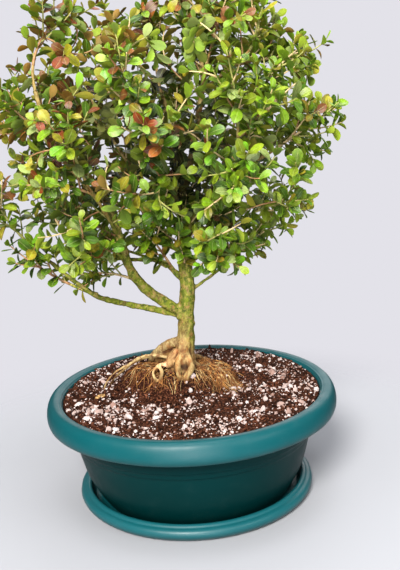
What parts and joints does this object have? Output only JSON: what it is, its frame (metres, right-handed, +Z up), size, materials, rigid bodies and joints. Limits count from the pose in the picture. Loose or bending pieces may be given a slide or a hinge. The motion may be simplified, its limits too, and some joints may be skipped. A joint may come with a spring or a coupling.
{
  "type": "boxwood bonsai",
  "caption": "Boxwood bonsai with a slim trunk, surface roots and an open leafy crown, in a round teal plastic pot of soil and perlite on a matching saucer.",
  "frame": {"origin": "the middle of the saucer's flat underside, on the surface that it stands on", "axes": "+Z up along the pot's axis, -Y towards the side that the picture shows, +X to its right"},
  "size_m": [0.3639, 0.3053, 0.5338],
  "materials": {
    "saucer_plastic": "dark teal moulded plastic, satin, with a lighter worn lip",
    "pot_plastic": "teal moulded plastic, satin, with soft highlights on the rolled rim",
    "potting_mix": "damp dark brown bark and peat mix with white perlite grains",
    "bark": "tan and yellow-brown bark, fissured, with green algae and brown blotches",
    "leaf": "glossy leathery leaves, green to olive and bronze, paler underneath"
  },
  "bodies": {
    "root": {"pot": "pot_plastic", "saucer": "saucer_plastic", "soil": "potting_mix", "spray_01": "leaf", "spray_02": "leaf", "spray_03": "leaf", "spray_04": "leaf", "spray_05": "leaf", "spray_06": "leaf", "spray_07": "leaf", "spray_08": "leaf", "spray_09": "leaf", "spray_10": "leaf", "spray_11": "leaf", "spray_12": "leaf", "spray_13": "leaf", "spray_14": "leaf", "spray_15": "leaf", "spray_16": "leaf", "spray_17": "leaf", "spray_18": "leaf", "spray_19": "leaf", "spray_20": "leaf", "spray_21": "leaf", "spray_22": "leaf", "spray_23": "leaf", "spray_24": "leaf", "spray_25": "leaf", "spray_26": "leaf", "spray_27": "leaf", "spray_28": "leaf", "spray_29": "leaf", "spray_30": "leaf", "spray_31": "leaf", "spray_32": "leaf", "spray_33": "leaf", "spray_34": "leaf", "spray_35": "leaf", "spray_36": "leaf", "spray_37": "leaf", "spray_38": "leaf", "spray_39": "leaf", "spray_40": "leaf", "spray_41": "leaf", "tree_wood": "bark"}
  },
  "joints": []
}
